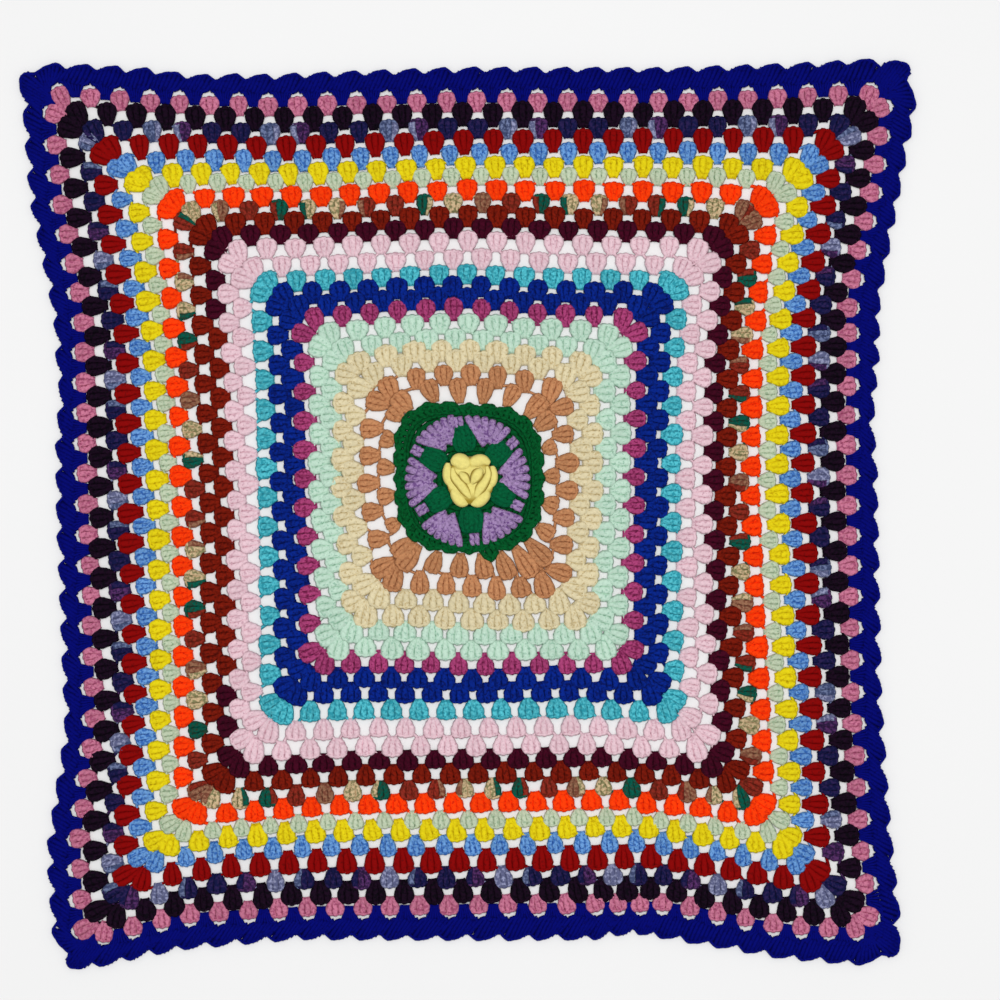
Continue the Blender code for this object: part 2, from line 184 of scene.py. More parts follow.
# The braid of a round: how far out on its cluster it lies, how much less so at its ends and how far it
# spreads, all as shares of the cluster, and its size on a cluster of the usual width.
BRAID_RINGS = 10
BRAID_SIDES = 4
BRAID_REACH = 0.965
BRAID_BOW = 0.12
BRAID_HALF_WIDTH = 0.41
BRAID_RADIUS = 0.0015
USUAL_WIDTH = 0.0160
# Its height, how far it falls to its ends, and how much its stitches swell and dip.
BRAID_LEVEL = 0.0042
BRAID_FALL = 0.0012
BRAID_STITCHES = 3
BRAID_SWELL = 0.25
BRAID_WAVE = 0.0003
# The link to the next cluster, which the next round holds down, this far inside the foot of its cluster.
LINK_SHARES = (0.25, 0.5, 0.75, 1.0)
LINK_SIZE = 0.85
LINK_LEVEL = 0.0012
LINK_TUCK = 0.0022

# The shells of the hem: how each stitch lies on its way from its foot to the edge.
SHELL_STITCHES = 7
LOBE_STITCHES = 8
SHELL_RINGS = 9
SHELL_SIDES = 4
SHELL_STATIONS = (0.0, 0.3, 0.6, 0.85, 1.0)
SHELL_RADIUS = (0.0010, 0.0013, 0.0018, 0.0025, 0.0023)
SHELL_LEVEL = (0.0034, 0.0032, 0.0032, 0.0030, 0.0027)
SHELL_FLATNESS = 0.85
SHELL_FOOT = 0.0034
SHELL_INSET = 0.0011
# The gap over each cluster below opens in a dome: its shoulders, out and across as shares of the
# cluster, its sides, out and across, its height and how far it leans to the notch.
SHOULDER_REACH = (0.36, 0.40)
DOME_SIDE = (0.0044, 0.0042)
DOME_HEIGHT = 0.0057
DOME_LEAN = 0.35
# At the corners, where no cluster is below, these three lie on the way to the notch, at these shares.
CORNER_SHARES = (0.30, 0.45, 0.60)
# The braid along the scalloped edge, with this many steps for each scallop.
EDGE_STEPS = 10
EDGE_INSET = 0.0013
EDGE_RADIUS = 0.0014
EDGE_SWELL = 0.18
EDGE_LEVEL = 0.0030

# Yarn colours as red, green and blue from 0 to 255, each with the colour that flecks it, the share of
# the flecks, and how strongly its plies stand out, from 0 to 1, both in their bumps and in the painted
# shade between them and on the sides of each strand.
YARNS = {
    "terracotta": ((188, 131, 90), (150, 94, 61), 0.2, 0.8),
    "beige": ((211, 199, 163), (185, 164, 118), 0.2, 0.35),
    "mint": ((182, 210, 192), (141, 181, 159), 0.2, 0.3),
    "magenta": ((165, 63, 114), (108, 22, 66), 0.35, 1.0),
    "royal": ((3, 36, 133), (3, 15, 80), 0.35, 1.0),
    "turquoise": ((81, 186, 200), (33, 139, 157), 0.45, 1.0),
    "blush": ((219, 188, 197), (194, 151, 165), 0.2, 0.35),
    "burgundy": ((64, 3, 28), (40, 3, 18), 0.3, 1.0),
    "rust": ((119, 23, 6), (80, 11, 4), 0.3, 1.0),
    "orange": ((244, 59, 3), (204, 31, 3), 0.2, 0.5),
    "sage": ((183, 196, 169), (139, 165, 133), 0.25, 0.4),
    "yellow": ((216, 198, 18), (189, 162, 4), 0.25, 0.25),
    "sky": ((103, 152, 210), (37, 89, 168), 0.45, 0.9),
    "red": ((127, 2, 2), (103, 2, 2), 0.2, 0.05),
    "plum": ((25, 6, 27), (6, 3, 11), 0.45, 1.0),
    "rose_pink": ((193, 114, 142), (152, 69, 104), 0.35, 0.8),
    "navy": ((0, 5, 106), (0, 0, 80), 0.2, 0.15),
    "earth_green": ((2, 86, 71), (39, 56, 42), 0.45, 0.9),
    "earth_beige": ((199, 174, 136), (109, 113, 72), 0.5, 0.8),
    "earth_brown": ((147, 105, 80), (111, 58, 45), 0.55, 0.9),
    "earth_brick": ((135, 41, 29), (91, 30, 16), 0.5, 0.8),
    "dusk_navy": ((16, 19, 62), (43, 31, 78), 0.45, 0.9),
    "dusk_steel": ((106, 118, 154), (48, 58, 94), 0.65, 0.7),
    "dusk_ice": ((142, 146, 178), (76, 80, 116), 0.7, 0.6),
    "dusk_purple": ((84, 46, 98), (30, 20, 52), 0.6, 0.9),
    "leaf_green": ((0, 88, 52), (0, 62, 36), 0.2, 0.9),
    "ring_green": ((0, 84, 38), (0, 56, 24), 0.3, 1.0),
    "lilac": ((160, 132, 178), (100, 64, 126), 0.35, 1.0),
}
PETAL_COLOR = (244, 230, 136)
# The colour of the painted shade on the rims of the petals.
PETAL_CREASE_SHADE = (150, 124, 26)
PETAL_SHADE = 0.70
# Where the painted shade on a petal's rim starts and where it is full, as cosines of the turn round it,
# and how strong it is.
PETAL_RIM_SHADE = (0.50, 0.86)
RIM_SHADE_STRENGTH = 0.95
# How dark the painted shade between a yarn's plies is and how light the painted highlight on them, and
# how much its tone wanders.
CREASE_SHADE = 0.60
RIDGE_SHADE = 1.12
TONE_SHARE = 0.2
# How fine the patterns of a yarn are, as cells in a metre.
FIBRE_SCALE = 1400.0
CLOUD_SCALE = 420.0
TUFT_SCALE = 480.0
PETAL_FIBRE_SCALE = 900.0
# How much of the bumps, and of the colour between painted shade and painted highlight, comes from the
# tufts and from the plies.
TUFT_SHARE = 0.6
TUFT_RANGE = (0.35, 0.65)
PLY_TOP = 0.75
PLY_HEIGHT = 0.4
TUFT_HEIGHT = 0.8
# How much painted shade darkens the sides of a strand, and between which cosines of the turn round it.
SIDE_SHADE = 0.75
SIDE_RANGE = (0.70, 0.98)
# The noise where flecks start and are full, and how far a share of 1 lowers both.
FLECK_RANGE = (0.62, 0.72)
FLECK_REACH = 0.30
FLECK_STRENGTH = 0.85
# The strength and depth of the bumps, and the range of roughness.
YARN_BUMP = (0.7, 0.0009)
PETAL_BUMP = (0.5, 0.0006)
ROUGHNESS = (0.80, 0.97)
# The yarns that change colour as they run: how many clusters one run of the colours lasts and where the
# run stands at the start, both for each side, and the colours with the share of the run that each lasts.
CHANGING_YARNS = {
    "earth": (
        ((4.43, 0.335), (4.43, 0.583), (4.43, 0.200), (4.43, 0.651)),
        (("green", 0.205), ("beige", 0.295), ("brown", 0.18), ("brick", 0.32)),
    ),
    "dusk": (
        ((4.00, 0.110), (3.87, 0.709), (4.00, 0.735), (4.00, 0.460)),
        (("navy", 0.50), ("steel", 0.15), ("ice", 0.17), ("purple", 0.18)),
    ),
}
# The stretch of one side where a round was worked in another yarn.
YARN_SWAPS = {18: ("left", 0.12, 0.86, "rust")}

# The motif: a rounded square with small points, drawn out on one side, with one long spike.
MOTIF_CENTRE = (ROSE_CENTRE[0] - 0.0010, ROSE_CENTRE[1] + 0.0016)
MOTIF_RADIUS = 0.0632
MOTIF_SQUARENESS = 3.0
MOTIF_POINTS = 24
MOTIF_POINT_HEIGHT = 0.0013
MOTIF_PULL_ANGLE = math.radians(132)
MOTIF_PULL_REACH = 0.0055
MOTIF_SPIKE_ANGLE = math.radians(-75.0)
MOTIF_SPIKE_REACH = 0.0080
MOTIF_SPIKE_HALF_WIDTH = math.radians(7.5)
# Its ring of short posts and rounds of chain. A pair for a radius or level is its value at both ends of a
# strand and how much more it is in the middle.
RING_INNER_SHARE = 0.86
RING_MIDDLE_SHARE = 0.93
RING_POSTS = 80
RING_POST_RINGS = 6
RING_POST_RADIUS = (0.00225, 0.0005)
RING_POST_LEVEL = (0.0028, 0.0006)
RING_POST_LEAN = 0.04
RING_BRAID_RADIUS = 0.0022
RING_BRAID_LEVEL = 0.0036
# How much thinner each chain is than the one outside it, as a share of the outermost.
RING_THINNING = 0.12
RING_TONE = 0.3
RING_BEADS = 60
RING_BEAD_STEPS = 6
RING_BEAD_SWELL = 0.20
# How far inside the motif's edge the first round of the blanket is worked into it.
RING_GRIP = 0.0020
# The low rounds under the fans: half width and half height, and the beads of the first round and how many
# more each round after it has.
BACKING_ROUNDS = 12
BACKING_START = 0.6
BACKING_POINTS = 96
BACKING_LEVEL = 0.0018
BACKING_SIZE = (0.0027, 0.0014)
BACKING_BEADS = (6, 5)
BACKING_SWELL = 0.12
BACKING_TONE = -0.6
# The rings and sides of the motif's larger strands.
MOTIF_RINGS = 12
MOTIF_SIDES = 8
# The green bobbles: how many degrees round the rose each lies, how far from it, its width and length.
BOBBLES = (
    (99, 0.0365, 0.0222, 0.0235),
    (43.8, 0.0330, 0.0215, 0.0210),
    (-23.7, 0.0305, 0.0212, 0.0205),
    (-89, 0.0335, 0.0226, 0.0220),
    (-149, 0.0315, 0.0215, 0.0210),
    (149.8, 0.0365, 0.0212, 0.0215),
)
BOBBLE_STITCHES = 5
BOBBLE_RADIUS = 0.0032
BOBBLE_LEVEL = (0.0030, 0.0034)
BOBBLE_ROUNDING = 0.5
BOBBLE_TWIST = 0.04
BOBBLE_TONE = 0.6
# How wide a bobble and how thick its stitches are at its ends, as shares of its middle.
BOBBLE_END_WIDTH = 0.45
BOBBLE_END_RADIUS = 0.55
# The purple fans: the degrees and distance of the inner end, then the degrees of the first and the last
# outer end and their distance.
FANS = (
    (123, 0.0370, 142, 107, 0.0575),
    (65, 0.0355, 93, 54, 0.0545),
    (7, 0.0285, 31, -16, 0.0500),
    (-58, 0.0335, -38, -76, 0.0550),
    (-123, 0.0355, -135, -99, 0.0565),
    (181, 0.0325, 161, 202, 0.0550),
)
FAN_STITCHES = 6
FAN_STATIONS = (0.0, 0.35, 0.65, 0.92, 1.0)
FAN_RADIUS = (0.0022, 0.0029, 0.0034, 0.0034, 0.0028)
FAN_LEVEL = (0.0036, 0.0024)
FAN_FOOT = 0.0046
FAN_TWIST = 0.06
# The small pairs of purple stitches outside each bobble: degrees and distance.
BRIDGES = (
    (101.7, 0.0500),
    (41.7, 0.0475),
    (-28, 0.0450),
    (-86, 0.0500),
    (-149, 0.0480),
    (151, 0.0515),
)
BRIDGE_LENGTH = 0.0092
BRIDGE_GAP = 0.0042
BRIDGE_RADIUS = 0.0023
BRIDGE_RINGS = 8
BRIDGE_LEVEL = (0.0040, 0.0012)
BRIDGE_TWIST = 0.16

# Petals of the rose, each a puffed strip through some points: across and up from the rose and the half
# width there, in millimetres. Then come the height of its middle line and how strongly painted shade
# darkens its edges.
PETALS = (
    (((-19.2, 14.8, 3.6), (-19.4, 8.0, 4.4), (-18.4, 1.0, 4.6), (-15.4, -5.6, 3.8)), 5.0, 0.3),
    (((18.6, 12.2, 3.6), (19.0, 5.5, 4.4), (18.2, -1.0, 4.4), (15.2, -6.6, 3.6)), 5.0, 0.3),
    (((-14.6, -5.0, 4.4), (-12.0, -12.5, 5.2), (-7.4, -17.8, 5.2), (-2.2, -19.4, 3.8)), 5.2, 0.3),
    (((13.2, -7.5, 4.4), (12.2, -12.5, 5.2), (6.8, -18.0, 5.2), (0.4, -19.4, 3.8)), 5.2, 0.3),
    (((-16.4, 15.4, 4.2), (-11.0, 16.4, 7.0), (-5.5, 14.6, 7.2), (-0.6, 13.0, 6.4)), 6.2, 0.3),
    (((-0.4, 14.2, 5.6), (5.0, 16.2, 5.6), (10.5, 17.2, 5.0), (16.4, 14.6, 3.8)), 6.2, 0.3),
    (
        ((-15.2, 10.8, 2.8), (-13.8, 3.5, 4.3), (-8.2, -3.6, 4.7), (-3.6, -9.8, 4.5), (0.2, -15.2, 2.8)),
        7.2,
        1.0,
    ),
    (
        ((13.8, 12.0, 3.0), (15.0, 5.5, 3.8), (11.8, -1.5, 4.6), (7.8, -7.5, 5.2), (4.2, -14.4, 3.4)),
        7.2,
        1.0,
    ),
    (((-9.0, 6.4, 2.8), (-5.0, 2.8, 4.2), (-1.4, -2.6, 2.8)), 9.0, 1.0),
    (((9.6, 9.8, 3.2), (6.8, 6.2, 5.4), (3.8, 1.6, 4.8), (1.0, -2.8, 2.4)), 9.2, 1.0),
)
PETAL_RINGS = 20
PETAL_SIDES = 16
PETAL_FLATNESS = 0.75
PETAL_THICKNESS = 0.0036
PETAL_ARCH = 0.0010
# How far short of a point the ends of a petal stop, and how blunt they are: the lower, the blunter.
PETAL_END = 0.04
PETAL_BLUNTNESS = 0.32
# The bed under the petals: its radius, its height and its half thickness, and where its ends stop.
ROSE_BED = (0.0205, 0.0062, 0.0034)
BED_END = 0.995

# The camera looks straight down and sees CAMERA_VIEW of the floor from side to side.
CAMERA_CENTRE = (0.02648, 0.01053)
CAMERA_HEIGHT = 2.6
CAMERA_VIEW = 0.85
SENSOR_WIDTH = 36.0
FLOOR_SIZE = 8.0
FLOOR_TONES = ((0.82, 0.82, 0.82, 1.0), (0.84, 0.84, 0.84, 1.0))
FLOOR_SCALE = 3.0
LIGHT_PLACE = (0.10, 0.25, 4.0)
LIGHT_SIZE = 1.8
LIGHT_POWER = 103.0
SKY_COLOR = (1.0, 1.0, 1.0, 1.0)
SKY_STRENGTH = 0.50


def linear(color):
    """The linear colour that shaders use, from red, green and blue from 0 to 255."""
    shares = np.array(color, float) / 255
    values = np.where(shares <= 0.04045, shares / 12.92, ((shares + 0.055) / 1.055) ** 2.4)
    return (*values.tolist(), 1.0)


def round_points(clusters, side, shares):
    """The points of a round at these shares of the way along one side, each from 0 to 1."""
    rows = np.array(KEY_ROUNDS[side], float)
    start, middle, end, *rises = (np.interp(clusters, rows[:, 0], column) for column in rows.T[1:])
    along = start * (1 - shares) * (1 - 2 * shares)
    along = along + middle * 4 * shares * (1 - shares) + end * shares * (2 * shares - 1)
    drift = np.interp(shares, np.linspace(0, 1, len(DRIFTS[side])), DRIFTS[side])
    along = along + drift * max(0.0, 1 - (EDGE_ROUND - clusters) / DRIFT_ROUNDS)
    rise = np.interp(shares, RISE_STATIONS, rises[:3] + [0.0] + rises[3:])
    out = ROUNDS[clusters][1][SIDE_NAMES.index(side)] + rise
    way, outward = np.array(SIDES[side])
    return np.array(ROSE_CENTRE) + (along[:, None] * way + out[:, None] * outward) * MM


def cluster_points(clusters):
    """The middles of all the clusters of a round, in the order they are worked: (sides, clusters, 2)."""
    shares = np.arange(clusters) / (clusters - 1)
    return np.array([round_points(clusters, side, shares) for side in SIDES])


def unit(vectors):
    return vectors / np.linalg.norm(vectors, axis=-1, keepdims=True)


def to_right(ways):
    """The ways in the plane that point to the right of these."""
    return np.stack([ways[..., 1], -ways[..., 0]], axis=-1)


def even_angles(number):
    return 2 * np.pi * np.arange(number) / number


def with_level(points, level):
    """Points of the plane lifted to this height."""
    return np.concatenate([points, np.broadcast_to(level, points.shape[:-1])[..., None]], axis=-1)


def on_clusters(base, top, along, aside):
    """Points of clusters, (clusters, points, 2): along is their share of the way from base to top, and
    aside how far to the right of that line they lie."""
    line = base[:, None] + (top - base)[:, None] * along[:, None]
    return line + to_right(unit(top - base))[:, None] * aside[..., None]


def arched(t, ends, rise):
    """This much at both ends of a strand, where t is 0 and 1, and more by this rise in its middle."""
    return ends + rise * np.sin(np.pi * t)


def run_of(paths):
    """How far each point of these paths is along its strand."""
    steps = np.linalg.norm(np.diff(paths, axis=1), axis=-1)
    return np.concatenate([np.zeros((len(paths), 1)), np.cumsum(steps, axis=1)], axis=1)


def sweep(paths, across, up, twist_depth=TWIST_DEPTH, sides=STRAND_SIDES, closed=False):
    """The rings of points round these paths: (strands, rings, sides, 3). across and up are the half
    width and half height of each ring, which swells where the two plies of the strand stand out."""
    if closed:
        ahead = np.roll(paths, -1, axis=1) - np.roll(paths, 1, axis=1)
    else:
        ahead = np.gradient(paths, axis=1)
    ahead = unit(ahead)
    side = unit(with_level(to_right(ahead), 0.0))
    top = np.cross(side, ahead)
    angles = even_angles(sides)
    turned = 2 * np.pi * TWIST_PER_METRE * run_of(paths)
    swell = 1 + twist_depth * np.cos(2 * (angles - turned[..., None]))
    reach = np.broadcast_to(across, paths.shape[:2])[..., None] * swell * np.cos(angles)
    rise = np.broadcast_to(up, paths.shape[:2])[..., None] * swell * np.sin(angles)
    return paths[:, :, None] + reach[..., None] * side[:, :, None] + rise[..., None] * top[:, :, None]


def spline(keys, count):
    """Smooth paths through these key points, (strands, keys, 3), with this many points each."""
    before = 2 * keys[:, :1] - keys[:, 1:2]
    after = 2 * keys[:, -1:] - keys[:, -2:-1]
    padded = np.concatenate([before, keys, after], axis=1)
    place = np.linspace(0, keys.shape[1] - 1, count)
    first = np.minimum(place.astype(int), keys.shape[1] - 2)
    t = (place - first)[None, :, None]
    a, b, c, d = (padded[:, first + step] for step in range(4))
    square = 2 * a - 5 * b + 4 * c - d
    cube = 3 * b - a - 3 * c + d
    return 0.5 * (2 * b + (c - a) * t + square * t**2 + cube * t**3)


def new_object(name, data):
    """A new object in the scene with this mesh, light or camera."""
    obj = bpy.data.objects.new(name, data)
    bpy.context.scene.collection.objects.link(obj)
    return obj


def fill(data, key, arrays, kind):
    """Sets one value of every item of a mesh's data."""
    data.foreach_set(key, np.concatenate(arrays).astype(kind).reshape(-1))


class Yarnwork:
    """Collects swept strands of yarn and makes one mesh object of them."""

    def __init__(self):
        self.points, self.tones = [], []
        self.loops, self.sizes, self.coords, self.slots = [], [], [], []
        self.count = 0

    def add(self, rings, slots, tones, closed=False):
        """Adds strands given as (strands, rings, sides, 3), each with a material slot and a tone."""
        number, length, sides, _ = rings.shape
        slots, tones = (np.broadcast_to(values, number) for values in (slots, tones))
        run = run_of(rings.mean(axis=2))
        first = self.count + np.arange(number)[:, None] * length * sides
        k, s = np.meshgrid(np.arange(length - 1 + closed), np.arange(sides), indexing="ij")
        k = np.stack([k, k + 1, k + 1, k], axis=-1).reshape(-1) % length
        s = np.stack([s, s, s + 1, s + 1], axis=-1).reshape(-1)
        self.add_faces(first + k * sides + s % sides, 4, run[:, k], s / sides, slots)
        if not closed:
            for ring, order in ((0, 1), (length - 1, -1)):
                ends = first + ring * sides + np.arange(sides)[::order]
                self.add_faces(ends, sides, run[:, [ring] * sides], 0.5, slots)
        self.points.append(rings.reshape(-1, 3))
        self.tones.append(np.repeat(tones, length * sides))
        self.count += number * length * sides

    def add_loop(self, line, across, up, slot, tone, twist_depth=0.0):
        """Adds one closed strand along this line of points."""
        self.add(sweep(line[None], across, up, twist_depth, closed=True), slot, tone, closed=True)

    def add_faces(self, corners, size, run, turns, slots):
        """Adds faces of this many corners each. The corners are given as (strands, corners)."""
        self.loops.append(corners.reshape(-1))
        self.sizes.append(np.full(corners.size // size, size))
        self.slots.append(np.repeat(slots, corners.shape[1] // size))
        self.coords.append(np.stack([run, np.broadcast_to(turns, run.shape)], axis=-1).reshape(-1, 2))

    def build(self, name, materials):
        sizes = np.concatenate(self.sizes)
        mesh = bpy.data.meshes.new(name)
        mesh.vertices.add(self.count)
        fill(mesh.vertices, "co", self.points, np.float32)
        mesh.loops.add(int(sizes.sum()))
        fill(mesh.loops, "vertex_index", self.loops, np.int32)
        mesh.polygons.add(len(sizes))
        fill(mesh.polygons, "loop_start", [np.cumsum(sizes) - sizes], np.int32)
        fill(mesh.polygons, "material_index", self.slots, np.int32)
        fill(mesh.polygons, "use_smooth", [np.ones(len(sizes))], bool)
        coords = mesh.uv_layers.new(name=STRAND_COORDS)
        fill(coords.data, "uv", self.coords, np.float32)
        tone = mesh.attributes.new(TONE, "FLOAT", "POINT")
        fill(tone.data, "value", self.tones, np.float32)
        mesh.update()
        mesh.validate()
        for material in materials:
            mesh.materials.append(material)
        return new_object(name, mesh)


def add_clusters(work, base, top, width, slots, chance):
    """Clusters from base to top, both (clusters, 2), each of three posts that fan out. slots are the
    material slots of the posts, (3, clusters)."""
    number = len(base)
    tones = chance.uniform(-1, 1, number)
    lift = chance.uniform(-POST_LIFT, POST_LIFT, number)[:, None]
    t = np.linspace(0, 1, POST_RINGS)
    outline = np.interp(t, CLUSTER_STATIONS, CLUSTER_OUTLINE)
    radius = outline * np.interp(t, CLUSTER_STATIONS, POST_SHARE)
    level = np.interp(t, CLUSTER_STATIONS, POST_LEVEL)
    half = width[:, None] * radius
    for hand, slot in zip((-1, 0, 1), slots):
        aside = hand * width[:, None] * (outline - radius)
        middle = on_clusters(base, top, t * (1 - POST_SHOULDER * abs(hand)), aside)
        rings = sweep(with_level(middle, level + lift), half, np.minimum(half * POST_FLATNESS, level))
        work.add(rings, slot, tones + POST_TONE * chance.uniform(-1, 1, number))


def add_braid(work, base, top, width, held, slots, chance):
    """The braid along a round, one strand for each cluster: over its top and on to the next cluster.
    held is where it is held on the way there."""
    x = np.linspace(-1, 1, BRAID_RINGS)
    waves = np.cos(BRAID_STITCHES * np.pi * (x + 1))
    aside = BRAID_HALF_WIDTH * width[:, None] * x
    over = on_clusters(base, top, BRAID_REACH - BRAID_BOW * x**2, aside)
    over = with_level(over, BRAID_LEVEL - BRAID_FALL * x**2 - BRAID_WAVE * waves)
    first, last = over[:, -1:], np.roll(over[:, :1], -1, axis=0)
    pull = 2 * with_level(held, LINK_LEVEL)[:, None] - (first + last) / 2
    t = np.array(LINK_SHARES)[None, :, None]
    link = first * (1 - t) ** 2 + pull * 2 * t * (1 - t) + last * t**2
    paths = np.concatenate([over, link], axis=1)
    size = np.concatenate([1 - BRAID_SWELL * waves, np.full(len(LINK_SHARES), LINK_SIZE)])
    radius = BRAID_RADIUS * width[:, None] / USUAL_WIDTH * size
    work.add(sweep(paths, radius, radius, 0.0, BRAID_SIDES), slots, chance.uniform(-1, 1, len(base)))


def changing_yarn(yarn, side, place):
    """The colour of a yarn that changes colour, at this place of this side, counted in clusters."""
    runs, colors = CHANGING_YARNS[yarn]
    period, start = runs[SIDE_NAMES.index(side)]
    place = (place / period + start) % 1.0
    for color, share in colors:
        if place < share:
            break
        place -= share
    return f"{yarn}_{color}"


def round_slots(clusters, slots):
    """The material slots of the three posts of every cluster of a round: (3, all its clusters)."""
    yarn = ROUNDS[clusters][0]
    swapped, low, high, other = YARN_SWAPS.get(clusters, ("", 0, 0, ""))
    found = []
    for side in SIDES:
        for number in range(clusters):
            names = [yarn] * 3
            if yarn in CHANGING_YARNS:
                names = [changing_yarn(yarn, side, number + hand / 3) for hand in (-1, 0, 1)]
            elif side == swapped and low <= number / (clusters - 1) <= high:
                names = [other] * 3
            found.append([slots[name] for name in names])
    return np.array(found).T


def feet(clusters):
    """The points that the clusters of a round are worked into: between two clusters of the round before,
    or between its corner pair. The first round is worked into the ring of the motif."""
    if clusters - 1 not in ROUNDS:
        off = cluster_points(clusters) - np.array(MOTIF_CENTRE)
        angles = np.arctan2(off[..., 1], off[..., 0])
        return on_motif(angles, plain_motif_radius(angles) - RING_GRIP)
    before = cluster_points(clusters - 1)
    between = (before[:, 1:] + before[:, :-1]) / 2
    last, first = before[:, -1], np.roll(before[:, 0], -1, axis=0)
    corners = (last + first) / 2 + outward_of(last, first) * CORNER_REACH
    return np.concatenate([np.roll(corners, 1, axis=0)[:, None], between, corners[:, None]], axis=1)


def cluster_ways(clusters):
    """The middles of a round's clusters and the ways they point, both (sides, clusters, 2)."""
    middles = cluster_points(clusters)
    return middles, unit(middles - feet(clusters))


def reach_below(clusters, height):
    """How far the clusters of a round reach in from their middles: half their height, further in at the
    corners, and for the first round all the way."""
    depth = np.linalg.norm(cluster_points(clusters) - feet(clusters), axis=-1) - FOOT_LIFT
    if clusters - 1 not in ROUNDS:
        return depth
    below = np.full(depth.shape, height / 2)
    below[:, [0, -1]] += (depth - below).clip(0)[:, [0, -1]] * CORNER_STRETCH
    return below


def links(clusters):
    """Where the braid of a round is held between its clusters, (sides, clusters, 2): inside the foot of
    each cluster of the next round, and halfway between the two at each corner."""
    if clusters + 1 == EDGE_ROUND:
        return feet(EDGE_ROUND)[:, 1:] + cluster_ways(clusters)[1] * LINK_TUCK
    middles, ways = cluster_ways(clusters + 1)
    height = ROUNDS[clusters + 1][2][1] * MM
    held = middles - ways * (reach_below(clusters + 1, height) - LINK_TUCK)[..., None]
    corners = (held[:, -1:] + np.roll(held[:, :1], -1, axis=0)) / 2
    return np.concatenate([held[:, 1:-1], corners], axis=1)


def add_round(work, braids, clusters, slots, chance):
    """All the clusters of one round, each from where it is worked in, and the braid along their tops."""
    middles, ways = cluster_ways(clusters)
    width, height = (
        size * MM * chance.uniform(1 - CLUSTER_GROWTH, 1 + CLUSTER_GROWTH, ways.shape[:2])
        for size in ROUNDS[clusters][2]
    )
    if clusters - 1 not in ROUNDS:
        width[:, [0, -1]] *= CORNER_GROWTH
    base = middles - ways * reach_below(clusters, height)[..., None]
    top = middles + ways * height[..., None] / 2
    top = top + chance.uniform(-CLUSTER_SHIFT, CLUSTER_SHIFT, top.shape)
    base, top, width = base.reshape(-1, 2), top.reshape(-1, 2), width.reshape(-1)
    colors = round_slots(clusters, slots)
    add_clusters(work, base, top, width, colors, chance)
    add_braid(braids, base, top, width, links(clusters).reshape(-1, 2), colors[1], chance)


def outward_of(a, b):
    """The unit vector out of the blanket where its edge runs from a to b, clockwise."""
    return -to_right(unit(b - a))


def scallop_edge(before, after, tip, shape, shares):
    """Points of one scallop from the notch before it, over its tip, to the notch after it."""
    base = after - before
    outward = outward_of(before, after)
    reach = np.dot(tip - before, outward)
    place = np.clip(np.dot(tip - before, base) / np.dot(base, base), *TIP_PLACES)
    climb = np.where(shares < place, shares / place, (1 - shares) / (1 - place))
    rise = np.sin(np.pi / 2 * climb) ** np.where(shares < place, *shape)
    return before + base * shares[:, None] + outward * (reach * rise)[:, None]


def shell_keys(notches):
    """Where the sides of each shell run, from its foot to its edge: the left and the right side of every
    shell, each (shells, 5, 2). They follow the shoulders of a cluster and close in a dome over its top."""
    middles, ways = cluster_ways(EDGE_ROUND - 1)
    width, height = (size * MM for size in ROUNDS[EDGE_ROUND - 1][2])
    across = to_right(ways)
    tops = middles + ways * height / 2
    foot = feet(EDGE_ROUND)
    notches = notches.reshape(len(SIDES), EDGE_ROUND, 2)
    corners = [foot[:, -1:] + (notches[:, -1:] - foot[:, -1:]) * share for share in CORNER_SHARES]
    apex = tops + unit(unit(notches[:, :-1] - tops) * DOME_LEAN + ways) * DOME_HEIGHT
    right, left = [foot], [foot]
    for keys, hand in ((right, -1), (left, 1)):
        shoulder = middles + ways * height * SHOULDER_REACH[0]
        shoulder = shoulder + across * width * SHOULDER_REACH[1] * hand
        dome = tops + ways * DOME_SIDE[0] + across * DOME_SIDE[1] * hand
        for points, corner in zip((shoulder, dome, apex), corners):
            keys.append(np.concatenate([points, corner], axis=1))
        keys.append(notches)
    left, right = (np.stack([key.reshape(-1, 2) for key in keys], axis=1) for keys in (left, right))
    left[:, 1:] = np.roll(left[:, 1:], 1, axis=0)
    return left, right


def scallops():
    """Every scallop in order round the blanket: the notches before and after it, its tip and its shape."""
    tips, notch_facts, shapes = [], [], []
    for side, (_, outward) in SIDES.items():
        notch_fact, (middle, half_width, depth), lobe = HEM[side]
        shares = np.arange(EDGE_ROUND - 1) / (EDGE_ROUND - 2)
        off = np.minimum(1.0, abs(shares - middle) / half_width)
        pull = depth * MM * np.cos(np.pi * off / 2) ** 2
        tips.extend(round_points(EDGE_ROUND, side, shares) - np.array(outward) * pull[:, None])
        tips.append(np.array(ROSE_CENTRE) + np.array(lobe) * MM)
        notch_facts.extend([notch_fact] * EDGE_ROUND)
        shapes.extend([SCALLOP_SHAPE] * (EDGE_ROUND - 1) + [LOBE_SHAPE])
    tips = np.array(tips)
    following = np.roll(tips, -1, axis=0)
    depth, unevenness = np.array(notch_facts).T[..., None]
    stray = np.random.default_rng(SCALLOP_SEED).uniform(-1, 1, tips.shape) * unevenness
    place = NOTCH_PLACE + stray[:, :1] * NOTCH_SHIFT
    notches = tips + (following - tips) * place - outward_of(tips, following) * depth * (1 + stray[:, 1:])
    return list(zip(np.roll(notches, 1, axis=0), notches, tips, shapes))


def area_inside(points):
    """The area inside a closed line of points of the plane."""
    following = np.roll(points, -1, axis=0)
    return abs(np.sum(points[:, 0] * following[:, 1] - following[:, 0] * points[:, 1])) / 2


def edge_area():
    """The flat area of the outer piece: inside the scalloped edge and outside the line where the first
    of its rounds is worked in."""
    shares = np.arange(EDGE_STEPS) / EDGE_STEPS
    outline = np.concatenate([scallop_edge(*scallop, shares) for scallop in scallops()])
    return area_inside(outline) - area_inside(feet(min(PIECES["rounds_edge"])).reshape(-1, 2))


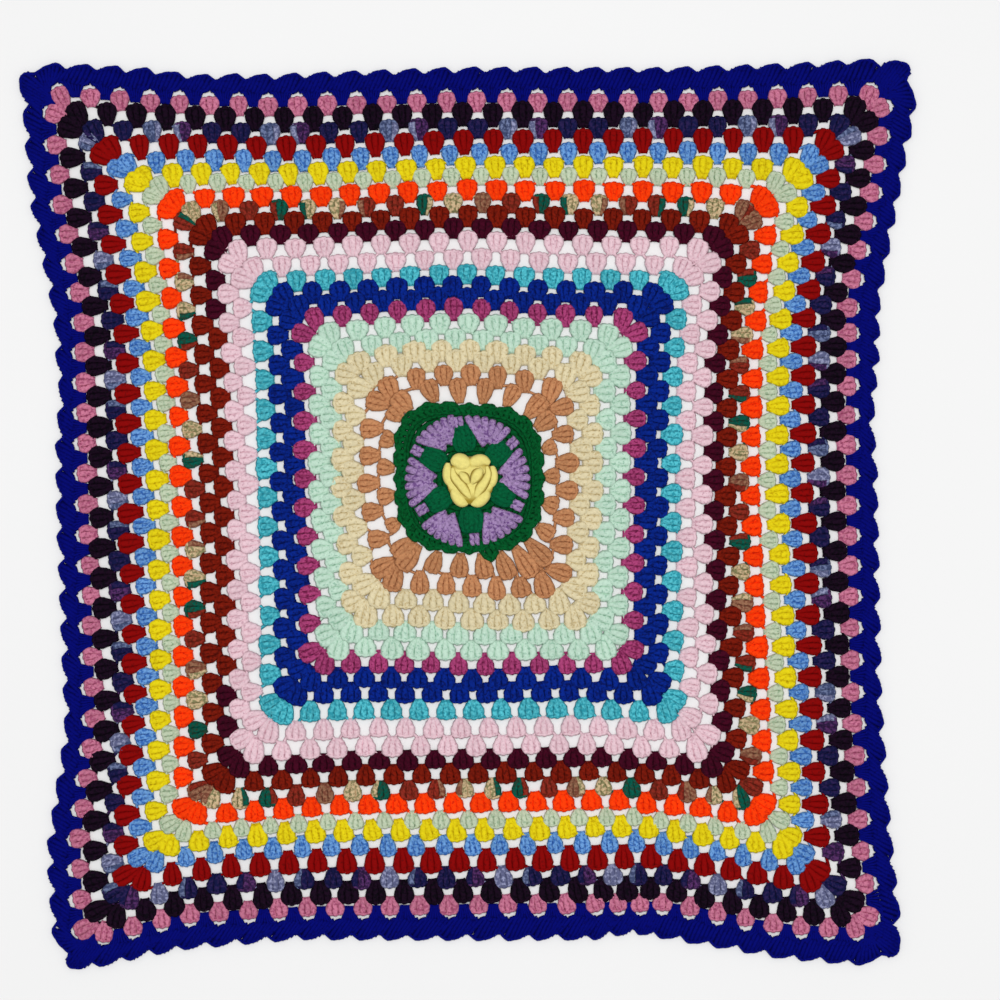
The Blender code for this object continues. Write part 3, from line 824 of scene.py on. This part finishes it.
def add_hem(work, braids, slots, chance):
    """The shells of the hem, each a fan of stitches, and the braid along its scalloped edge."""
    found = scallops()
    left, right = shell_keys(np.array([after for _, after, _, _ in found]))
    edge, keys = [], []
    steps = np.arange(EDGE_STEPS) / EDGE_STEPS
    for i, (before, after, tip, shape) in enumerate(found):
        outward = outward_of(before, after)
        edge.append(scallop_edge(before, after, tip, shape, steps) - outward * EDGE_INSET)
        stitches = LOBE_STITCHES if shape == LOBE_SHAPE else SHELL_STITCHES
        shares = (np.arange(stitches) + 0.5) / stitches
        fan = left[i] + (right[i] - left[i]) * shares[:, None, None]
        fan[:, 0] += unit(after - before) * ((2 * shares - 1) * SHELL_FOOT)[:, None]
        fan[:, -1] = scallop_edge(before, after, tip, shape, shares) - outward * SHELL_INSET
        keys.append(fan)
    paths = spline(with_level(np.concatenate(keys), 0.0), SHELL_RINGS)
    t = np.linspace(0, 1, SHELL_RINGS)
    paths[..., 2] = np.interp(t, SHELL_STATIONS, SHELL_LEVEL)
    radius = np.interp(t, SHELL_STATIONS, SHELL_RADIUS)
    rings = sweep(paths, radius, radius * SHELL_FLATNESS, sides=SHELL_SIDES)
    work.add(rings, slots["navy"], chance.uniform(-1, 1, len(paths)))
    line = with_level(np.concatenate(edge), EDGE_LEVEL)
    turns = 2 * np.pi * np.arange(len(line)) * SHELL_STITCHES / EDGE_STEPS
    beads = EDGE_RADIUS * (1 + EDGE_SWELL * np.cos(turns))
    braids.add_loop(line, beads, beads, slots["navy"], 0.0)


def plain_motif_radius(angles):
    """How far the rounded square reaches at these angles, without its points."""
    square = np.abs(np.cos(angles)) ** MOTIF_SQUARENESS + np.abs(np.sin(angles)) ** MOTIF_SQUARENESS
    off = angles - MOTIF_PULL_ANGLE
    pull = np.where(np.cos(off) < 0, 0.0, np.cos(2 * off).clip(0) ** 2)
    return MOTIF_RADIUS * square ** (-1 / MOTIF_SQUARENESS) + MOTIF_PULL_REACH * pull


def motif_radius(angles):
    """How far the motif reaches at these angles, with its points and its one long spike."""
    off = np.remainder(angles - MOTIF_SPIKE_ANGLE + np.pi, 2 * np.pi) - np.pi
    spike = MOTIF_SPIKE_REACH * (1 - np.abs(off / MOTIF_SPIKE_HALF_WIDTH)).clip(0)
    return plain_motif_radius(angles) + MOTIF_POINT_HEIGHT * np.cos(MOTIF_POINTS * angles) + spike


def on_motif(angles, reach):
    """The points at these angles round the middle of the motif and this far from it."""
    return np.array(MOTIF_CENTRE) + reach[..., None] * np.stack([np.cos(angles), np.sin(angles)], axis=-1)


def add_ring(work, slots, chance):
    """The dark green ring of the motif: a round of short posts, with three rounds of chain on it."""
    angles = even_angles(RING_POSTS)
    t = np.linspace(0, 1, RING_POST_RINGS)
    outer = motif_radius(angles) - RING_BRAID_RADIUS
    inner = plain_motif_radius(angles) * RING_INNER_SHARE
    reach = inner[:, None] + (outer - inner)[:, None] * t
    paths = with_level(on_motif(angles[:, None] + RING_POST_LEAN * t, reach), arched(t, *RING_POST_LEVEL))
    radius = arched(t, *RING_POST_RADIUS)
    work.add(sweep(paths, radius, radius), slots["ring_green"], chance.uniform(-1, 1, RING_POSTS))
    angles = even_angles(RING_BEAD_STEPS * RING_BEADS)
    beads = RING_BRAID_RADIUS * (1 + RING_BEAD_SWELL * np.cos(RING_BEADS * angles))
    plain = plain_motif_radius(angles)
    outer = motif_radius(angles) - RING_BRAID_RADIUS
    for number, reach in enumerate((outer, plain * RING_MIDDLE_SHARE, plain * RING_INNER_SHARE)):
        line = with_level(on_motif(angles, reach), RING_BRAID_LEVEL)
        radius = beads * (1 - RING_THINNING * number)
        work.add_loop(line, radius, radius, slots["ring_green"], RING_TONE)


def add_backing(work, slots):
    """The low rounds of green yarn that show between the fans."""
    angles = even_angles(BACKING_POINTS)
    half_width, half_height = BACKING_SIZE
    beads, more_beads = BACKING_BEADS
    for number in range(BACKING_ROUNDS):
        share = (number + BACKING_START) / BACKING_ROUNDS * RING_INNER_SHARE
        line = with_level(on_motif(angles, plain_motif_radius(angles) * share), BACKING_LEVEL)
        across = half_width * (1 + BACKING_SWELL * np.cos((beads + more_beads * number) * angles))
        work.add_loop(line, across, half_height, slots["ring_green"], BACKING_TONE, TWIST_DEPTH)


def polar(degrees, distance):
    """The point this far from the rose, this many degrees round from the right."""
    turn = math.radians(degrees)
    return np.array(ROSE_CENTRE) + distance * np.array([math.cos(turn), math.sin(turn)])


def spoke(degrees, distance, length, t):
    """A line of this length that points out from the rose, with its middle at this distance: its points
    at the shares t of its length, and the way to its left."""
    inner, outer = (polar(degrees, distance + half * length) for half in (-0.5, 0.5))
    return inner + (outer - inner) * t[:, None], -to_right(unit(outer - inner))


def add_bobbles(work, slots, chance):
    """The puffed green clusters round the rose, each of several stitches drawn together at both ends."""
    t = np.linspace(0, 1, MOTIF_RINGS)
    puff = np.sin(np.pi * t) ** 0.5
    hands = np.linspace(-1, 1, BOBBLE_STITCHES)[:, None]
    low, rise = BOBBLE_LEVEL
    level = low + rise * puff * (1 - BOBBLE_ROUNDING * hands**2)
    spread = BOBBLE_END_WIDTH + (1 - BOBBLE_END_WIDTH) * puff
    radius = BOBBLE_RADIUS * (BOBBLE_END_RADIUS + (1 - BOBBLE_END_RADIUS) * puff)
    for degrees, distance, width, length in BOBBLES:
        line, left = spoke(degrees, distance, length, t)
        bow = hands * (width / 2 - BOBBLE_RADIUS) * spread
        paths = with_level(line + left * bow[..., None], level)
        tones = chance.uniform(-BOBBLE_TONE, BOBBLE_TONE, BOBBLE_STITCHES)
        work.add(sweep(paths, radius, radius, BOBBLE_TWIST, MOTIF_SIDES), slots["leaf_green"], tones)


def add_fans(work, slots, chance):
    """The purple fans: stitches worked into one place that spread to the ring."""
    t = np.linspace(0, 1, MOTIF_RINGS)
    radius = np.interp(t, FAN_STATIONS, FAN_RADIUS)
    for inner_degrees, inner_distance, first, last, outer_distance in FANS:
        foot = polar(inner_degrees, inner_distance)
        paths = []
        for share in np.linspace(0, 1, FAN_STITCHES):
            end = polar(first + (last - first) * share, outer_distance)
            aside = to_right(unit(end - foot)) * np.sign(first - last)
            start = foot + (2 * share - 1) * FAN_FOOT * aside
            paths.append(with_level(start + (end - start) * t[:, None], arched(t, *FAN_LEVEL)))
        rings = sweep(np.array(paths), radius, radius, FAN_TWIST, MOTIF_SIDES)
        work.add(rings, slots["lilac"], chance.uniform(-1, 1, FAN_STITCHES))


def add_bridges(work, slots, chance):
    """The small pairs of purple stitches outside the bobbles."""
    t = np.linspace(0, 1, BRIDGE_RINGS)
    hands = np.array([-0.5, 0.5])[:, None, None]
    for degrees, distance in BRIDGES:
        line, left = spoke(degrees, distance, BRIDGE_LENGTH, t)
        paths = with_level(line + left * hands * BRIDGE_GAP, arched(t, *BRIDGE_LEVEL))
        rings = sweep(paths, BRIDGE_RADIUS, BRIDGE_RADIUS, BRIDGE_TWIST, MOTIF_SIDES)
        work.add(rings, slots["lilac"], chance.uniform(-1, 1, len(paths)))


def add_rose(work, slots):
    """The layered rose: puffed petals that lie over each other towards its heart, on a round bed."""
    t = np.linspace(0, 1, PETAL_RINGS)
    ends = np.sin(np.pi * (PETAL_END + (1 - 2 * PETAL_END) * t)) ** PETAL_BLUNTNESS
    for points, level, rim_shade in PETALS:
        strip = spline(np.array(points)[None] * MM, PETAL_RINGS)
        path = with_level(np.array(ROSE_CENTRE) + strip[..., :2], arched(t, level * MM, PETAL_ARCH))
        across = strip[..., 2] * ends
        up = np.minimum(across * PETAL_FLATNESS, PETAL_THICKNESS)
        work.add(sweep(path, across, up, 0.0, PETAL_SIDES), slots["butter"], rim_shade)
    radius, level, thickness = ROSE_BED
    x = np.linspace(-BED_END, BED_END, PETAL_RINGS)
    path = with_level(np.array(ROSE_CENTRE) + np.stack([x * radius, 0 * x], axis=-1), level)[None]
    fall = np.sqrt(1 - x**2)
    # The rims of the bed get the full painted shade.
    work.add(sweep(path, radius * fall, thickness * fall, 0.0, PETAL_SIDES), slots["butter"], 1.0)


class Nodes:
    """Builds one material's nodes and joins them in few words."""

    def __init__(self, name):
        self.material = bpy.data.materials.new(name)
        self.material.use_nodes = True
        self.tree = self.material.node_tree
        self.shader = self.tree.nodes["Principled BSDF"]
        self.place = self.add("TexCoord").outputs["Object"]

    def feed(self, node, inputs):
        """Gives a node its inputs, each a value or the socket that it is joined to."""
        for key, value in inputs.items():
            if isinstance(value, bpy.types.NodeSocket):
                self.tree.links.new(value, node.inputs[key])
            else:
                node.inputs[key].default_value = value
        return node

    def add(self, kind, inputs=None, **settings):
        node = self.tree.nodes.new("ShaderNode" + kind)
        for key, value in settings.items():
            setattr(node, key, value)
        return self.feed(node, inputs or {})

    def math(self, operation, a, b=0.0):
        return self.add("Math", {0: a, 1: b}, operation=operation).outputs[0]

    def times(self, a, b):
        return self.math("MULTIPLY", a, b)

    def wave(self, turns):
        """The size of the cosine of this many whole turns."""
        return self.math("ABSOLUTE", self.math("COSINE", self.times(turns, 2 * math.pi)))

    def noise(self, scale, detail=2.0):
        return self.add("TexNoise", {"Vector": self.place, "Scale": scale, "Detail": detail}).outputs[0]

    def ramp(self, value, low, high, start=0.0, end=1.0):
        """start up to low, end from high on, and straight between them."""
        return self.add("MapRange", {0: value, 1: low, 2: high, 3: start, 4: end}).outputs[0]

    def mix(self, share, a, b):
        return self.add("Mix", {0: share, 6: a, 7: b}, data_type="RGBA").outputs[2]

    def strand_coords(self):
        """How far along its strand a point is, in metres, and how far round it, in turns."""
        coords = self.add("UVMap", uv_map=STRAND_COORDS).outputs[0]
        return self.add("SeparateXYZ", {0: coords}).outputs[:2]

    def tone(self):
        return self.add("Attribute", attribute_name=TONE).outputs["Fac"]

    def surface(self, color, fibres, bump, height, **gloss):
        """The shader's inputs: its colour, its bumps and its roughness, and plain values for its gloss."""
        strength, depth = bump
        bumps = self.add("Bump", {"Strength": strength, "Distance": depth, "Height": height})
        rough = self.ramp(fibres, 0.0, 1.0, *ROUGHNESS)
        self.feed(self.shader, {"Base Color": color, "Normal": bumps.outputs[0], "Roughness": rough})
        self.feed(self.shader, gloss)
        return self.material


def shaded(color, share):
    """The linear colour of red, green and blue from 0 to 255, made this much lighter or darker."""
    return (*(min(1.0, share * part) for part in linear(color)[:3]), 1.0)


def yarn_material(name, color, fleck, fleck_share, relief_and_shade):
    """Plied yarn: two plies that wind round each strand, fine fibres, flecks and an uneven tone. Its
    colour has painted shade between the plies and on the sides of each strand, and a painted highlight on
    the plies.
    """
    nodes = Nodes(name)
    along, turn = nodes.strand_coords()
    fibres = nodes.noise(FIBRE_SCALE)
    tufts = nodes.ramp(nodes.noise(TUFT_SCALE, 1.5), *TUFT_RANGE)
    plies = nodes.wave(nodes.math("SUBTRACT", turn, nodes.times(along, TWIST_PER_METRE)))
    raised = nodes.add("Mix", {0: TUFT_SHARE, 2: nodes.ramp(plies, 0.0, PLY_TOP), 3: tufts}).outputs[0]
    # Painted shade on the sides of each strand.
    lit = nodes.ramp(nodes.wave(turn), *SIDE_RANGE, 1.0, 1 - SIDE_SHADE * relief_and_shade)
    uneven = nodes.math("ADD", nodes.tone(), nodes.times(fibres, 2.0))
    share = nodes.math(
        "ADD",
        nodes.times(nodes.times(raised, lit), 1.0 - TONE_SHARE),
        nodes.times(uneven, TONE_SHARE),
    )
    # Painted shade for the creases between the plies and a painted highlight for their ridges: the two
    # colours that share runs between.
    dark = shaded(color, 1 - (1 - CREASE_SHADE) * relief_and_shade)
    light = shaded(color, RIDGE_SHADE)
    start, full = (edge - FLECK_REACH * fleck_share for edge in FLECK_RANGE)
    flecks = nodes.ramp(nodes.noise(CLOUD_SCALE), start, full, 0.0, FLECK_STRENGTH)
    strength, depth = YARN_BUMP
    return nodes.surface(
        nodes.mix(flecks, nodes.mix(share, dark, light), linear(fleck)),
        fibres,
        (relief_and_shade * strength, depth),
        nodes.math("ADD", nodes.times(plies, PLY_HEIGHT), nodes.times(tufts, TUFT_HEIGHT)),
        **{"Specular IOR Level": 0.08, "Sheen Weight": 0.20, "Sheen Roughness": 0.45, "Sheen Tint": light},
    )


def petal_material(name, color, crease_shade_color):
    """The soft yarn of the rose: smooth puffs with painted ochre shade on their rims, where one lies into
    the next.
    """
    nodes = Nodes(name)
    _, turn = nodes.strand_coords()
    fibres = nodes.noise(PETAL_FIBRE_SCALE, 3.0)
    # Painted ochre shade on the rims of each petal, as strong as its tone.
    rim_shade = nodes.times(nodes.ramp(nodes.wave(turn), *PETAL_RIM_SHADE, 0.0, RIM_SHADE_STRENGTH), nodes.tone())
    puff = nodes.mix(nodes.noise(CLOUD_SCALE), shaded(color, PETAL_SHADE), linear(color))
    return nodes.surface(
        nodes.mix(rim_shade, puff, linear(crease_shade_color)),
        fibres,
        PETAL_BUMP,
        fibres,
        **{"Specular IOR Level": 0.10, "Sheen Weight": 0.10, "Sheen Roughness": 0.45},
    )


def floor_material():
    """The plain pale ground, with the faintest unevenness."""
    nodes = Nodes("pale_ground")
    color = nodes.mix(nodes.noise(FLOOR_SCALE), *FLOOR_TONES)
    nodes.feed(nodes.shader, {"Base Color": color, "Roughness": 0.9, "Specular IOR Level": 0.1})
    return nodes.material


def add_floor():
    half = FLOOR_SIZE / 2
    corners = [(-half, -half, 0), (half, -half, 0), (half, half, 0), (-half, half, 0)]
    mesh = bpy.data.meshes.new("floor")
    mesh.from_pydata(corners, [], [(0, 1, 2, 3)])
    mesh.materials.append(floor_material())
    new_object("floor", mesh)


def add_lights():
    """One broad light overhead, aimed at the middle of the blanket, in an even white room."""
    world = bpy.data.worlds.new("studio")
    world.use_nodes = True
    background = world.node_tree.nodes["Background"]
    background.inputs["Color"].default_value = SKY_COLOR
    background.inputs["Strength"].default_value = SKY_STRENGTH
    bpy.context.scene.world = world
    data = bpy.data.lights.new("overhead", "AREA")
    data.shape = "DISK"
    data.size = LIGHT_SIZE
    data.energy = LIGHT_POWER
    light = new_object("overhead", data)
    light.location = LIGHT_PLACE
    x, y, z = LIGHT_PLACE
    light.rotation_euler = (math.atan2(math.hypot(x, y), z), 0.0, math.atan2(x, -y))


def add_camera():
    """The camera straight above the blanket, which shows colours as they are."""
    data = bpy.data.cameras.new("camera")
    data.sensor_width = SENSOR_WIDTH
    data.lens = SENSOR_WIDTH * CAMERA_HEIGHT / CAMERA_VIEW
    camera = new_object("camera", data)
    camera.location = (*CAMERA_CENTRE, CAMERA_HEIGHT)
    bpy.context.scene.camera = camera
    bpy.context.scene.view_settings.view_transform = "Standard"


def build_piece(name, work, materials, node):
    """One piece of the blanket, which rides on its body and stands for this CAD node."""
    piece = work.build(name, materials)
    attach(piece, "root")
    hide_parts(node)
    return piece


def build_rounds(materials, slots, chance):
    """The pieces of the rounds, with the braids first and the outer piece last."""
    pieces = []
    braids = Yarnwork()
    for name, rounds in PIECES.items():
        work = Yarnwork()
        for clusters in rounds:
            if clusters == EDGE_ROUND:
                add_hem(work, braids, slots, chance)
            else:
                add_round(work, braids, clusters, slots, chance)
        pieces.append(build_piece(name, work, materials, "granny_square"))
    return [build_piece(BRAIDS, braids, materials, "granny_square"), *pieces]


def build_blanket():
    chance = np.random.default_rng(CLUSTER_SEED)
    materials = [yarn_material(name, *facts) for name, facts in YARNS.items()]
    materials.append(petal_material("butter", PETAL_COLOR, PETAL_CREASE_SHADE))
    slots = {name: number for number, name in enumerate([*YARNS, "butter"])}
    rounds = build_rounds(materials, slots, chance)
    work = Yarnwork()
    add_backing(work, slots)
    for add_part in (add_ring, add_bobbles, add_fans, add_bridges):
        add_part(work, slots, chance)
    motif = build_piece("centre_motif", work, materials, "rose_motif")
    work = Yarnwork()
    add_rose(work, slots)
    rose = build_piece("layered_rose", work, materials, "rose")
    edge_area()


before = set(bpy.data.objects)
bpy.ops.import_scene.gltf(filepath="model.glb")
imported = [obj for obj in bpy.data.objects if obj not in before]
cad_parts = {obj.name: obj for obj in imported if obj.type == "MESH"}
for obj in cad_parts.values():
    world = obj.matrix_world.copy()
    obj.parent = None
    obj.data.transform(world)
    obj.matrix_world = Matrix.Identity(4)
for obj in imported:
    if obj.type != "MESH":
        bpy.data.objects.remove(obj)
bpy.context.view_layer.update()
build_blanket()
add_floor()
add_lights()
add_camera()
